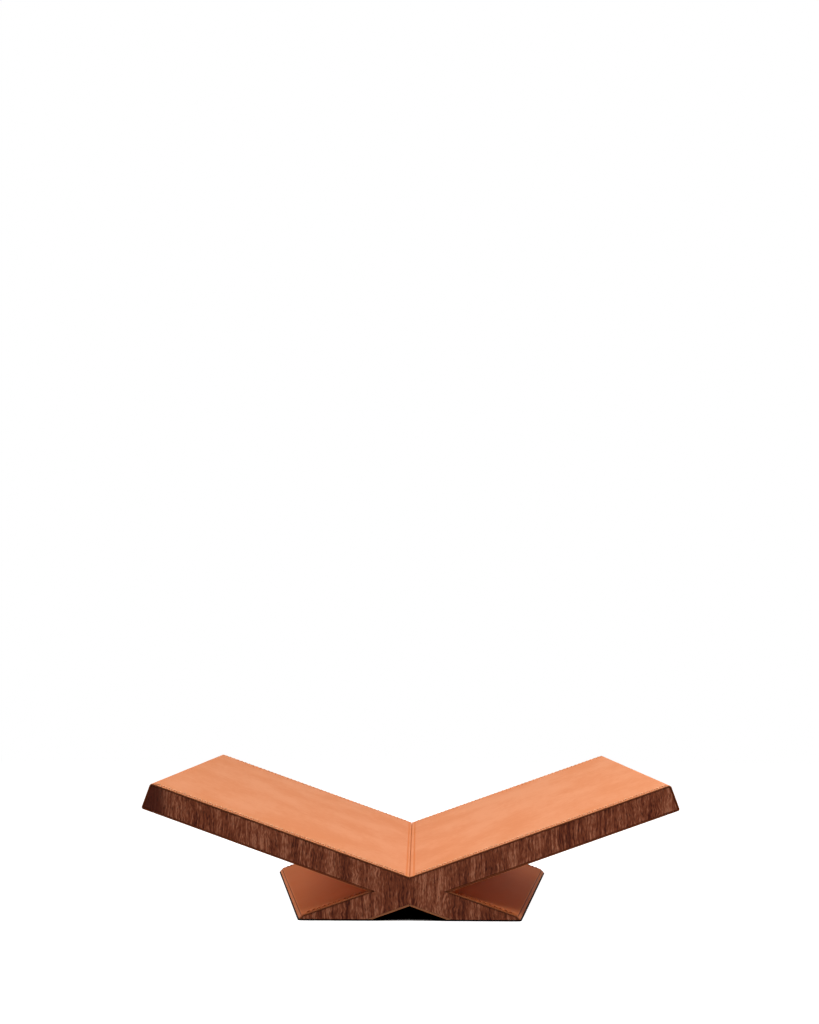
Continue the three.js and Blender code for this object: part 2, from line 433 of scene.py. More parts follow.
def sheet_depths(arris):
    """Depths of the rows on an outer face, close together near the two cut edges."""
    edge = np.linspace(arris, EDGE_ZONE, EDGE_STEPS)
    middle = np.linspace(EDGE_ZONE, DEPTH - EDGE_ZONE, MIDDLE_STEPS)[1:-1]
    return np.concatenate([edge, middle, (DEPTH - edge)[::-1]])


def end_distances(arris):
    """Distances of the first rings from a sheet's end: arris times (1 - sine) of a quarter turn."""
    return arris * (1 - np.sin(np.linspace(QUARTER, 0, ARRIS_STEPS + 1)))


def ring_shrinks(count, arris):
    """How far the outline of each ring is drawn in: near the two ends by arris times (1 - cosine)
    of the same quarter turn, and not at all between."""
    end = END_ROUNDNESS * arris * (1 - np.cos(np.linspace(QUARTER, 0, ARRIS_STEPS + 1)))
    return np.concatenate([end, np.zeros(count - 2 * len(end)), end[::-1]])


def shrunk(outline, inward, shrinks):
    """The two coordinates of an outline on each ring, drawn in by the ring's shrinkage."""
    moved = outline + shrinks[:, None, None] * inward
    return moved[..., 0], moved[..., 1]


def leather_grid(rings):
    """A leather's outline on each ring: depths, heights below the outer face, the skin, which is
    1 on that face and 0 on the glued one, how far a point is down a cut edge, and the quads."""
    arris = settings().leather.arris
    outline, inward = shell_profile(sheet_depths(arris), LEATHER, arris)
    depth, height = shrunk(outline, inward, ring_shrinks(rings, arris))
    cut = np.clip(-height / arris, 0, 1)
    return depth, height, 1 + height / LEATHER, cut, shell_faces(rings, len(outline))


def groove(distance, width, depth):
    """A pressed line: a bell curve across it, going down."""
    return -depth * np.exp(-((distance / width) ** 2))


def hide_waves(along, depth, seed):
    """Broad waves of a hide: a mean of cosines with random directions, lengths and phases. The
    seeds of wings, legs and linings lie 1, 3 and 5 to either side of the chosen one."""
    draw = np.random.default_rng(seed)
    total = 0
    for _ in range(WAVES):
        heading, phase = draw.uniform(0, 2 * math.pi, 2)
        wave = 2 * math.pi / draw.uniform(*WAVE_RANGE)
        total += np.cos(wave * (along * math.cos(heading) + depth * math.sin(heading)) + phase)
    return total / WAVES


def stitch_row(first, last):
    """Places of the holes of a row between two places along a board, a whole number of
    stitches apart."""
    pitch = settings().stitching.pitch
    count = int(abs(last - first) / pitch)
    return first + math.copysign(pitch, last - first) * np.arange(count + 1)


def stitch_depths():
    """The depths of the front row and the back row."""
    sewing = settings().stitching
    return sewing.front_inset, DEPTH - sewing.back_inset


def stitch_relief(along, depth, rows, sewn):
    """How the front and back rows draw the leather down where it is sewn: a groove along each, and
    a dimple round each hole, longer across the row than along it, all bell curves. Returns the
    height and the share of the way into a dimple."""
    sewing = settings().stitching
    relief, hole = np.zeros_like(depth), np.zeros_like(depth)
    for row, row_depth, pull in zip(rows, stitch_depths(), (1, sewing.back_pull)):
        first, last = min(row[0], row[-1]), max(row[0], row[-1])
        stitch = np.round((np.clip(along, first, last) - first) / sewing.pitch)
        beside = (along - first - sewing.pitch * stitch) / sewing.hole_width
        past = np.maximum(first - along, along - last).clip(0) / sewing.hole_width
        off_row = (depth - row_depth) / sewing.hole_reach
        dimple = np.exp(-(beside**2) - off_row**2)
        line = np.exp(-(past**2) - off_row**2)
        relief -= pull * sewn * (sewing.hole_depth * dimple + sewing.sink * line)
        hole = np.maximum(hole, pull * sewn * dimple)
    return relief, hole


# Leather covers


def wing_row():
    """Holes along a wing, from beside the valley's creases to just short of the end."""
    leather, sewing = settings().leather, settings().stitching
    start = VALLEY + leather.right_crease + sewing.pitch / 2
    return stitch_row(start, WING_END - leather.top_corner - sewing.pitch / 4)


def wing_knots():
    """Where the parts of a wing's section begin, counted along it from the valley's seam: the
    top, the upper corner, the end, the lower corner and the strip underneath, and its edge."""
    leather = settings().leather
    upper, lower = leather.top_corner, leather.lower_corner
    lengths = [
        WING_END - upper - VALLEY,
        QUARTER * upper,
        2 * HALF_SLAB - upper - lower,
        QUARTER * lower,
        WING_END - lower - LINING_END - 2 * HALF_SEAM,
    ]
    return np.concatenate([[0], np.cumsum(lengths)])


def wing_path(travel):
    """The outer line of a wing's cover in section: straight parts joined by two quarter circles.
    Returns along, out and the way that the leather faces, as the angle from "along" towards
    "out"."""
    leather = settings().leather
    knots = wing_knots()
    top, first_arc, fall, second_arc, under = (
        np.clip(travel - knot, 0, run) for knot, run in zip(knots, np.diff(knots))
    )
    upper, lower = leather.top_corner, leather.lower_corner
    first_turn, second_turn = first_arc / upper, second_arc / lower
    along = VALLEY + top + upper * np.sin(first_turn) + lower * (np.cos(second_turn) - 1) - under
    out = HALF_SLAB + upper * (np.cos(first_turn) - 1) - fall - lower * np.sin(second_turn)
    return along, out, QUARTER - first_turn - second_turn


def wing_stations():
    """Distances of a wing cover's rings along its section: a rounded end at the seam, fine steps
    across the crease, a few steps to each stitch, steps round the two corners, a rounded end."""
    leather = settings().leather
    knots = wing_knots()
    end = end_distances(leather.arris)
    creased = leather.right_crease + CREASE_REACH * leather.crease_width
    turns = [np.linspace(*knots[part : part + 2], CORNER_STEPS + 1) for part in (1, 2, 3)]
    return np.concatenate(
        [
            end,
            np.arange(end[-1] + FINE_STEP, creased, FINE_STEP),
            np.arange(creased, knots[1], settings().stitching.pitch / STEPS_PER_STITCH),
            turns[0],
            turns[1][1:],
            turns[2][1:],
            np.linspace(knots[4], knots[5] - end[-1], CORNER_STEPS)[1:-1],
            knots[5] - end[::-1],
        ]
    )


def wing_cover(side):
    """One leather from the valley over a wing's top and end. Its outline is carried along the
    section of wing_path, and each point is moved square to the leather by its height in the
    outline and by the creases, the stitches and the hide's waves."""
    leather, seed = settings().leather, settings().seed
    knots = wing_knots()
    travel = wing_stations()[:, None]
    along, out, facing = wing_path(travel)
    depth, height, skin, cut, quads = leather_grid(len(travel))

    crease = leather.right_crease if side > 0 else leather.left_crease
    wave = 0 if side > 0 else leather.crease_wave
    wander = wave * hide_waves(np.zeros(1), depth, seed)
    pressed = groove(travel - crease - wander, leather.crease_width, leather.crease_depth)
    drawn, hole = stitch_relief(along, depth, [wing_row()] * 2, travel <= knots[1])
    relief = pressed + drawn + leather.unevenness * hide_waves(travel, depth, seed + side)

    mitre = math.tan(SLOPE) * (1 - np.clip(travel / knots[1], 0, 1)) * height
    lift = height + relief * skin
    points = place(side, along + mitre + lift * np.cos(facing), out + lift * np.sin(facing), depth)
    # Painted shade: the creases and the hide beside the valley's seam take the redder hide, and the
    # seam's mitred faces take the hide's colour instead of the cut edge's. The cut edges are
    # darkened downwards, dye with painted shade at their foot, and towards the wing's end
    round_end = np.clip((travel - knots[1]) / (knots[2] - knots[1]), 0, 1)
    from_seam = np.clip(travel / leather.left_crease, 0, 1)
    shading = np.maximum(-pressed / leather.crease_depth, 1 - SEAM_FADE * from_seam)
    inside = np.abs(depth - DEPTH / 2) < DEPTH / 2 - leather.arris
    masks = {
        "mark": hole * (skin > 0.5),
        "red": shading * (skin > 0.5),
        "cut": cut * np.where(inside, from_seam, 1),
        "darkening": np.maximum(round_end, 1 - skin / 2),
    }
    return points, quads, masks, (knots[5], knots[5])


def toe_setback():
    """How far a toe stands in from the edge that its leg would taper to."""
    tapered = place(1, along_at_floor(HALF_SLAB, DEPTH), HALF_SLAB, DEPTH)
    return float(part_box("left_leg_leather")[0].x - tapered[0])


def toe_shape(depth):
    """A toe in section: the place along the board where its bevel meets the upper face, the
    bevel's length, its turn from the upper face, and half of the bend's length. Towards the
    foot's far corner the toe draws back by a circle's gap from its tangent."""
    leather = settings().leather
    turn = leather.toe_slope - SLOPE
    setback = toe_setback()
    bevel = setback * math.sin(SLOPE) / math.sin(turn)
    into = (depth - (DEPTH - leather.toe_corner)).clip(0, leather.toe_corner)
    drawn = leather.toe_corner - np.sqrt(leather.toe_corner**2 - into**2)
    corner = along_at_floor(HALF_SLAB, depth) + setback * math.cos(SLOPE) + drawn
    return corner + bevel * math.cos(turn), bevel, turn, leather.toe_bend * math.tan(turn / 2)


def leg_path(travel, depth):
    """The outer line of a leg's cover in section, from the toe's foot up the bevel, round the
    bend and along the upper face. Returns along, out and the leather's turn from "out"."""
    bend = settings().leather.toe_bend
    corner, bevel, turn, tangent = toe_shape(depth)
    short = (bevel - tangent - travel).clip(0, None)
    past = (travel - bevel - tangent).clip(0, None)
    facing = turn * ((bevel + tangent - travel) / (2 * tangent)).clip(0, 1)
    along = corner + tangent - bend * np.sin(facing) + past - short * math.cos(turn)
    out = HALF_SLAB - bend + bend * np.cos(facing) - short * math.sin(turn)
    return along, out, facing


def leg_row(depth):
    """Holes along a leg's upper face at this depth, from the notch to the toe's bend."""
    sewing = settings().stitching
    corner, _, _, tangent = toe_shape(np.full(1, depth))
    return stitch_row(NOTCH - sewing.pitch, corner[0] + tangent + sewing.pitch / 3)


def leg_cover(side):
    """The leather on a leg's upper face and over its toe. Its rings are spaced by travel over the
    toe and by a share of the way from there to the notch, and its lower end is cut level."""
    leather, sewing, seed = settings().leather, settings().stitching, settings().seed
    _, bevel, _, tangent = toe_shape(np.zeros(1))
    steep = bevel - tangent
    end = end_distances(leather.arris)
    toe = np.concatenate(
        [
            end,
            np.arange(end[-1] + FINE_STEP, steep, FINE_STEP),
            np.linspace(steep, bevel + tangent, CORNER_STEPS),
        ]
    )
    longest = abs(along_at_floor(HALF_SLAB, DEPTH) - along_at_level(HALF_SLAB, 0))
    share = np.linspace(0, 1, int(longest / (sewing.pitch / STEPS_PER_STITCH)))[1:, None]
    depth, height, skin, cut, quads = leather_grid(len(toe) + len(share) + len(end))

    notch = along_at_level(HALF_SLAB + height, -HALF_SEAM) - toe_shape(depth)[0] + bevel
    foot_cut = -height[: len(toe)] / math.tan(leather.toe_slope)
    over_toe = toe[:, None] + foot_cut * (1 - toe / steep).clip(0, None)[:, None]
    onward = notch[len(toe) : -len(end)] - end[-1] - toe[-1]
    travel = np.concatenate(
        [over_toe, toe[-1] + share * onward, notch[-len(end) :] - end[::-1, None]]
    )

    along, out, facing = leg_path(travel, depth)
    pressed = groove(travel - leather.toe_crease, leather.toe_crease_width, leather.crease_depth)
    rows = [leg_row(row_depth) for row_depth in stitch_depths()]
    drawn, hole = stitch_relief(along, depth, rows, travel > bevel + tangent)
    relief = pressed + drawn + leather.unevenness * hide_waves(along, depth, seed + 3 * side)
    lift = height + relief * skin
    points = place(side, along - lift * np.sin(facing), out + lift * np.cos(facing), depth)
    # Painted shade: the front strip and the toe's crease are darkened with the leather mark, and
    # the whole leg takes the redder hide, a little less of it on the bevel below the toe's crease.
    # The cut edges are darkened downwards: dye, with painted shade at their foot
    shaded = leather.edge_shade_strength * np.exp(-depth.clip(0, None) / leather.edge_shade_reach)
    shading = np.maximum(-pressed / leather.crease_depth, shaded)
    masks = {
        "mark": np.maximum(hole, shading) * (skin > 0.5),
        "cut": cut,
        "darkening": 1 - skin / 2,
        "red": np.where(travel < leather.toe_crease, leather.toe_shade_red, leather.leg_shade_red),
    }
    runs = NOTCH - toe_shape(sheet_depths(leather.arris))[0] + bevel
    return points, quads, masks, (runs.max(), runs.mean())


def lining(side, start, end, darkening):
    """The flat leather under a wing, or under a leg in the arch. start and end say where it
    begins and ends at each height and depth, and its rings stand at shares of the way between.
    Its last argument says how far its cut edges are darkened: dye, and on the wings' linings
    painted shade as well."""
    leather = settings().leather
    edge = end_distances(leather.arris)
    middle = np.linspace(0, 1, LINING_RINGS)[1:-1]
    share = np.pad(middle, len(edge), constant_values=(0, 1))[:, None]
    inset = np.concatenate([edge, np.full(len(middle), edge[-1]), edge[::-1]])[:, None]
    depth, height, skin, cut, quads = leather_grid(len(share))
    out = -HALF_SLAB - height
    first, last = start(out, depth), end(out, depth)
    ahead = np.sign(last.mean() - first.mean())
    along = first + ahead * inset + share * (last - first - 2 * ahead * inset)
    relief = leather.unevenness * hide_waves(along, depth, settings().seed + 5 * side)
    points = place(side, along, out - relief * skin, depth)
    # Painted shade: the whole lining takes the redder hide
    masks = {
        "mark": np.zeros_like(height),
        "cut": cut,
        "darkening": np.full_like(height, darkening),
        "red": np.ones_like(height),
    }
    runs = np.abs(last - first)
    return points, quads, masks, (runs.max(), runs.mean())


def linings(side):
    """The lining of a wing, from the notch out to the edge of the cover that is turned in under
    it, and the lining of the arch, from its ridge down to the foot."""
    leather = settings().leather
    wing_ends = (
        lambda out, depth: along_at_level(out, HALF_SEAM),
        lambda out, depth: np.full_like(depth, LINING_END),
    )
    arch_ends = (lambda out, depth: along_at_upright(out, -HALF_SEAM), along_at_floor)
    wing = lining(side, *wing_ends, leather.wing_darkening)
    return wing, lining(side, *arch_ends, leather.arch_darkening)


# Stitches


def stitches(side, row, row_depth):
    """A row of stitches, one short thread of two plies from each hole to the next. The thread
    rises out of a hole, runs level and dives into the next: its height is a fourth power of the
    distance from its middle. Each ring's radius swells twice a turn, and the swelling turns
    along the thread."""
    sewing = settings().stitching
    share = np.linspace(0, 1, THREAD_RINGS)
    offset = 2 * share - 1
    turn = np.linspace(0, 2 * math.pi, THREAD_SIDES, endpoint=False)
    radius = sewing.thread / 2 * (1 - THREAD_TAPER * offset**4)
    bulge = 1 + THREAD_PLIES * np.cos(2 * (turn - THREAD_TWIST * share[:, None]))
    radial = radius[:, None] * bulge * np.cos(turn)
    vertical = radius[:, None] * bulge * np.sin(turn)
    rise = sewing.proud - (sewing.proud + sewing.dive) * offset**4
    tilt = np.arctan(np.gradient(rise, share * sewing.pitch))[:, None]
    heading = np.sign(row[-1] - row[0])
    onward = sewing.pitch * (THREAD_MARGIN + (1 - 2 * THREAD_MARGIN) * share)[:, None]
    along = row[:-1, None, None] + heading * (onward - vertical * np.sin(tilt))
    out = HALF_SLAB + rise[:, None] + vertical * np.cos(tilt)
    depth = row_depth + sewing.slant * offset[:, None] * side * heading + radial
    first = np.arange(len(row) - 1)[:, None, None] * THREAD_RINGS * THREAD_SIDES
    quads = (shell_faces(THREAD_RINGS, THREAD_SIDES) + first).reshape(-1, 4)
    return place(side, along, out, depth), quads


# Soles


def sole(side):
    """A thin felt under a board's foot. Its outline, across and up, is carried from front to
    back. It runs from just inside the leg's inner line to just past its outer line, and both
    ends are narrowed on a quarter circle, which rounds the corners in plan."""
    felt = settings().felt
    node = "left_sole" if side > 0 else "right_sole"
    low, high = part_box(node)
    run = high.y - low.y
    edge = end_distances(felt.arris)
    corner = felt.corner * (1 - np.cos(np.linspace(0, QUARTER, CORNER_STEPS + 1)))
    near = np.concatenate([edge, corner[corner > edge[-1]]])
    middle = np.linspace(felt.corner, run - felt.corner, MIDDLE_STEPS)[1:-1]
    forward = np.concatenate([near, middle, (run - near)[::-1]])
    into = felt.corner - np.minimum(forward, run - forward).clip(0, felt.corner)
    narrow = felt.corner - np.sqrt(felt.corner**2 - into**2)

    footing = CROSSING[1] + (CROSSING[2] - CUT_LEVEL) * math.tan(LEAN)
    depth = (low.y + forward - footing) * math.cos(LEAN)
    upper = place(side, along_at_floor(HALF_SLAB, depth), HALF_SLAB, depth)[:, 0]
    lower = place(side, along_at_floor(-HALF_SLAB, depth), -HALF_SLAB, depth)[:, 0]
    outer = np.abs(upper) - toe_setback() + felt.proud - narrow - felt.arris
    inner = np.abs(lower) + felt.inset + narrow + felt.arris

    profile, inward = shell_profile(np.linspace(0, 1, CORNER_STEPS), high.z - low.z, felt.arris)
    share = np.clip(profile[:, 0], 0, 1)
    offset, rise = shrunk(profile, inward, ring_shrinks(len(forward), felt.arris))
    across = inner[:, None] + share * (outer - inner)[:, None] + offset - share
    back = np.broadcast_to((low.y + forward)[:, None], across.shape)
    points = np.stack([-side * across, back, high.z + rise], -1)
    return node, points, shell_faces(len(forward), len(profile)), run, (outer - inner).mean()


# Materials


class Value:
    """An output of a material's node. Sums, differences and products of it add the Math nodes
    that work them out."""

    def __init__(self, graph, socket):
        self.graph = graph
        self.socket = socket

    def __add__(self, other):
        return self.graph.math("ADD", self, other)

    __radd__ = __add__

    def __sub__(self, other):
        return self.graph.math("SUBTRACT", self, other)

    def __rsub__(self, other):
        return self.graph.math("SUBTRACT", other, self)

    def __mul__(self, other):
        return self.graph.math("MULTIPLY", self, other)

    __rmul__ = __mul__


class Graph:
    """The nodes of one material or world, its owner."""

    def __init__(self, owner):
        owner.use_nodes = True
        self.owner = owner
        self.tree = owner.node_tree
        self.tree.nodes.clear()

    @staticmethod
    def find(sockets, key):
        """A socket by its place, its identifier or its name."""
        if isinstance(key, int):
            return sockets[key]
        found = [socket for socket in sockets if key in (socket.identifier, socket.name)]
        if not found:
            raise KeyError(f"no socket is called {key}")
        return found[0]

    def node(self, kind, choices=None, inputs=None, output=0):
        """Adds a node, sets its choices and then its inputs, and returns one of its outputs."""
        node = self.tree.nodes.new(kind)
        for name, value in (choices or {}).items():
            setattr(node, name, value)
        for key, value in (inputs or {}).items():
            socket = self.find(node.inputs, key)
            if isinstance(value, Value):
                self.tree.links.new(value.socket, socket)
            elif socket.type == "RGBA":
                socket.default_value = (*value, 1.0)
            else:
                socket.default_value = value
        return Value(self, self.find(node.outputs, output)) if node.outputs else None

    def math(self, operation, first, second):
        return self.node("ShaderNodeMath", {"operation": operation}, {0: first, 1: second})

    def mix(self, factor, first, second):
        """A colour between two colours."""
        sockets = {"Factor_Float": factor, "A_Color": first, "B_Color": second}
        choices = {"data_type": "RGBA", "clamp_factor": True}
        return self.node("ShaderNodeMix", choices, sockets, "Result_Color")

    def ease(self, value, low, high):
        """0 below low, 1 above high, and a smooth step between."""
        sockets = {"Value": value, "From Min": low, "From Max": high}
        return self.node("ShaderNodeMapRange", {"interpolation_type": "SMOOTHSTEP"}, sockets)

    def scaled(self, vector, *sizes):
        """The coordinates counted in features of this size, or of these sizes along X, Y and Z,
        in millimetres."""
        scale = tuple(1 / (size * MM) for size in sizes * (3 // len(sizes)))
        return self.node("ShaderNodeMapping", inputs={"Vector": vector, "Scale": scale})

    def noise(self, vector, *sizes, detail=2.0, rough=0.5):
        sockets = {"Scale": 1.0, "Detail": detail, "Roughness": rough}
        sockets["Vector"] = self.scaled(vector, *sizes)
        return self.node("ShaderNodeTexNoise", inputs=sockets, output="Fac")

    def attribute(self, name):
        return self.node("ShaderNodeAttribute", {"attribute_name": name}, output="Fac")

    def surface(self, shader, kind="ShaderNodeOutputMaterial"):
        self.node(kind, inputs={"Surface": shader})

    def finish(self, colour, rough, height, deep, strength, shine=0.5):
        """An opaque surface whose relief is deep millimetres high where height is 1. Returns
        the finished material."""
        bump = {"Height": height, "Distance": deep * MM, "Strength": strength}
        skin = {"Base Color": colour, "Roughness": rough, "Specular IOR Level": shine}
        skin["Normal"] = self.node("ShaderNodeBump", inputs=bump)
        self.surface(self.node("ShaderNodeBsdfPrincipled", inputs=skin))
        return self.owner


def new_material(name):
    """A material's nodes, the coordinates on a piece, and the colours."""
    graph = Graph(bpy.data.materials.new(name))
    return graph, graph.node("ShaderNodeTexCoord", output="Object"), settings().colours


def leather_material():
    """Smooth hide: broad clouds of two tones, a fine pebbled grain, and painted shade: a darker,
    redder hide on the legs, the linings, the creases and beside the valley's seam, and darker marks
    in the stitch holes, partly burnish, in the toes' creases and on the legs' front strips. Brown
    cut edges are dyed and get darker downwards, with painted shade at their foot, and towards the
    wings' ends."""
    graph, where, colours = new_material("tan_leather_finish")
    clouds = graph.noise(where, 60, detail=3.0, rough=0.55)
    flecks = graph.noise(where, 5, detail=3.0, rough=0.6)
    fibres = graph.noise(where, 0.5)
    pebbles = graph.node(
        "ShaderNodeTexVoronoi",
        {"feature": "SMOOTH_F1"},
        {"Vector": graph.scaled(where, 0.8), "Scale": 1.0, "Smoothness": 0.6},
        "Distance",
    )
    tone = graph.ease(clouds * 0.75 + flecks * 0.25, 0.36, 0.64)
    hide = graph.mix(tone, colours.leather, colours.leather_deep)
    hide = graph.mix(pebbles * 0.12, hide, colours.leather_deep)
    # Painted shade: a darker, redder hide where the red mask is set
    hide = graph.mix(graph.attribute("red") * 0.9, hide, colours.leather_shade_red)
    # Painted shade in stitch holes, pressed lines and the legs' front strips, with some burnish in
    # the holes
    hide = graph.mix(graph.attribute("mark") * 0.9, hide, colours.leather_mark)
    raw = graph.mix(fibres * 0.3, colours.cut_edge, colours.leather_mark)
    # Dyed cut edges, with painted shade at their foot and on the wing linings' edges
    edge = graph.mix(graph.attribute("darkening"), raw, colours.darkened_edge)
    cut = graph.ease(graph.attribute("cut"), 0.35, 0.9)
    rough = 0.6 + 0.1 * flecks + 0.2 * cut
    grain = (1 - pebbles) * 0.6 + fibres * 0.4
    base = graph.mix(cut, hide, edge)
    return graph.finish(base, rough, grain, deep=0.03, strength=0.5, shine=0.06)


def thread_material():
    """Waxed thread, a little darker between its fibres, and painted darker and browner on the legs
    as painted shade.
    """
    graph, where, colours = new_material("waxed_thread_finish")
    fibres = graph.noise(where, 0.2, detail=1.0)
    thread_shade = fibres * 0.2 + graph.attribute("thread_shade")
    base = graph.mix(thread_shade, colours.thread, colours.thread_in_shade)
    return graph.finish(base, 0.55 + 0.15 * fibres, fibres, deep=0.03, strength=0.4, shine=0.15)


def wood_material():
    """Dark veneer with upright grain: broad bands, streaks and short flecks, all drawn out in
    height. A slow wave pushes them sideways, and in patches a quick ripple does too, so that the
    figure curls there. Short open pores lie along the grain, and the left end is dark."""
    graph, where, colours = new_material("dark_wood_finish")
    across, back, up = (
        graph.node("ShaderNodeSeparateXYZ", inputs={"Vector": where}, output=axis)
        for axis in "XYZ"
    )
    wave = graph.noise(where, 30, 400, 22, detail=1.0)
    ripple = graph.noise(where, 9, 400, 5, detail=1.0)
    patch = graph.ease(graph.noise(where, 24, 400, 40, detail=0.0), 0.42, 0.62)
    pushed = across + (wave - 0.5) * (5 * MM) + (ripple - 0.5) * patch * (3 * MM)
    grain = graph.node("ShaderNodeCombineXYZ", inputs={"X": pushed, "Y": back * 0.2, "Z": up})
    bands = graph.noise(grain, 12, 12, 200)
    streaks = graph.noise(grain, 1.5, 1.5, 30, rough=0.6)
    flecks = graph.noise(grain, 1.1, 1.1, 4.5, detail=1.0, rough=0.6)
    pores = graph.ease(graph.noise(grain, 0.8, 0.8, 5, detail=1.0), 0.6, 0.7)
    tone = bands * 0.3 + streaks * 0.4 + flecks * 0.3
    left_end = graph.ease(across, *DARK_END) * 0.9
    dark = graph.math("MAXIMUM", graph.ease(tone, 0.52, 0.36), left_end)
    base = graph.mix(graph.ease(tone, 0.48, 0.64), colours.wood_middle, colours.wood_light)
    base = graph.mix(dark, base, colours.wood_dark)
    base = graph.mix(pores * 0.6, base, colours.wood_pore)
    rough = 0.45 + 0.15 * streaks + 0.2 * pores
    return graph.finish(base, rough, flecks * 0.5 - pores, deep=0.08, strength=0.6, shine=0.14)


def board_material():
    """Plain pale board with a soft grain along the stand."""
    graph, where, colours = new_material("core_board_finish")
    grain = graph.noise(where, 3, 60, 3, detail=3.0)
    base = graph.mix(grain, colours.board, colours.wood_light)
    return graph.finish(base, 0.7 + 0.15 * grain, grain, deep=0.1, strength=0.5)


def felt_material():
    """Pressed black felt: matted fibres that catch a little light."""
    graph, where, colours = new_material("black_felt_finish")
    mat = graph.noise(where, 0.7, detail=4.0, rough=0.7)
    base = graph.mix(mat * 0.3, colours.felt, colours.wood_pore)
    return graph.finish(base, 0.9 + 0.1 * mat, mat, deep=0.2, strength=0.8, shine=0.15)


def floor_material():
    """A pale floor. The camera sees it lit up to white, but for a painted shadow: close under the
    stand, where little of the sky is open, that light fades out and its own colour is painted over
    with the felt's black, so that the floor in the arch is black."""
    graph, colours = Graph(bpy.data.materials.new("studio_floor_finish")), settings().colours
    sky = {"Distance": 60 * MM}
    openness = graph.node("ShaderNodeAmbientOcclusion", {"samples": 16}, sky, "AO")
    lit = graph.ease(openness, 0.25, 0.55)
    seen = graph.node("ShaderNodeLightPath", output="Is Camera Ray")
    # white is the floor's colour, painted with the felt's black where the sky is closed: a painted
    # shadow
    white = graph.mix(lit, colours.felt, colours.floor)
    own = graph.node("ShaderNodeBsdfDiffuse", inputs={"Color": white})
    light = {"Color": (1, 1, 1), "Strength": seen * lit}
    glow = graph.node("ShaderNodeEmission", inputs=light)
    graph.surface(graph.node("ShaderNodeAddShader", inputs={0: own, 1: glow}))
    return graph.owner


def studio_world():
    """Even light from all round. The camera, and what mirrors or lets through, sees it white."""
    world = bpy.data.worlds.new("pale_studio")
    graph = Graph(world)
    seen = [
        graph.node("ShaderNodeLightPath", output=ray)
        for ray in ("Is Camera Ray", "Is Glossy Ray", "Is Transmission Ray")
    ]
    white = graph.math("MINIMUM", seen[0] + seen[1] + seen[2], 1.0)
    ambient = settings().studio.ambient
    strength = ambient + (1 - ambient) * white
    sky = graph.node("ShaderNodeBackground", inputs={"Color": (1, 1, 1), "Strength": strength})
    graph.surface(sky, "ShaderNodeOutputWorld")
    bpy.context.scene.world = world


# Operators


class BookStandOperator:
    bl_options = {"REGISTER", "UNDO"}


def add_leather(name, node, made):
    """A leather in place of one node, stretched over a wing's board."""
    points, quads, masks, runs = made
    material = bpy.data.materials.get("tan_leather_finish") or leather_material()
    piece = add_mesh(name, points, quads, material, masks)
    dress(piece, "tan_leather", node)
    declare_sheet(DEPTH, runs)


class BOOK_STAND_OT_wing_covers(BookStandOperator, bpy.types.Operator):
    """Covers the two wings with leather, round their ends"""

    bl_idname = "book_stand.wing_covers"
    bl_label = "Wing covers"

    def execute(self, context):
        for side, wing, _ in BOARDS:
            add_leather(f"{wing}_wing_cover", f"{wing}_wing_leather", wing_cover(side))
        return {"FINISHED"}


class BOOK_STAND_OT_leg_covers(BookStandOperator, bpy.types.Operator):
    """Covers the upper faces of the two legs and the toes of the feet with leather"""

    bl_idname = "book_stand.leg_covers"
    bl_label = "Leg covers"

    def execute(self, context):
        for side, wing, leg in BOARDS:
            add_leather(f"{leg}_leg_cover", f"{leg}_leg_leather", leg_cover(side))
        return {"FINISHED"}


class BOOK_STAND_OT_linings(BookStandOperator, bpy.types.Operator):
    """Lines the undersides of the wings and of the arch with leather"""

    bl_idname = "book_stand.linings"
    bl_label = "Linings"

    def execute(self, context):
        for side, wing, leg in BOARDS:
            under, arch = linings(side)
            add_leather(f"{wing}_wing_lining", f"{wing}_wing_under_leather", under)
            add_leather(f"{leg}_arch_lining", f"{leg}_arch_leather", arch)
        return {"FINISHED"}


class BOOK_STAND_OT_stitching(BookStandOperator, bpy.types.Operator):
    """Sews a row of stitches along the front and back edges of each upper face"""

    bl_idname = "book_stand.stitching"
    bl_label = "Stitching"

    def execute(self, context):
        material = thread_material()
        for end, row_depth in zip(("front", "back"), stitch_depths()):
            for side, wing, leg in BOARDS:
                for name, row in (
                    (f"{wing}_wing_{end}_stitches", wing_row()),
                    (f"{leg}_leg_{end}_stitches", leg_row(row_depth)),
                ):
                    points, quads = stitches(side, row, row_depth)
                    # The legs' threads are painted darker: painted shade
                    masks = {"thread_shade": np.full(points.shape[:-1], float("leg" in name))}
                    dress(add_mesh(name, points, quads, material, masks), "tan_leather")
        return {"FINISHED"}


class BOOK_STAND_OT_soles(BookStandOperator, bpy.types.Operator):
    """Puts a thin felt sole under each foot"""

    bl_idname = "book_stand.soles"
    bl_label = "Soles"

    def execute(self, context):
        material = felt_material()
        for side, _, _ in BOARDS:
            node, points, quads, run, width = sole(side)
            piece = add_mesh(f"{node}_felt", points, quads, material)
            dress(piece, "black_felt", node)
            declare_sheet(width, (run, run))
        return {"FINISHED"}


class BOOK_STAND_OT_wood_and_boards(BookStandOperator, bpy.types.Operator):
    """Finishes the wood faces and the hidden boards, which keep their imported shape"""

    bl_idname = "book_stand.wood_and_boards"
    bl_label = "Wood faces and boards"

    def execute(self, context):
        for nodes, material in (
            (("front_wood_face", "back_wood_face"), wood_material()),
            (("right_wing_board", "left_wing_board"), board_material()),
        ):
            for node in nodes:
                slots = frame["nodes"][node].data.materials
                slots.clear()
                slots.append(material)
        return {"FINISHED"}


class BOOK_STAND_OT_studio(BookStandOperator, bpy.types.Operator):
    """Makes the floor, the lights and the camera"""

    bl_idname = "book_stand.studio"
    bl_label = "Studio"

    def execute(self, context):
        context.scene.view_settings.view_transform = "Standard"
        studio_world()
        add_floor()
        add_lamps()
        add_camera()
        return {"FINISHED"}


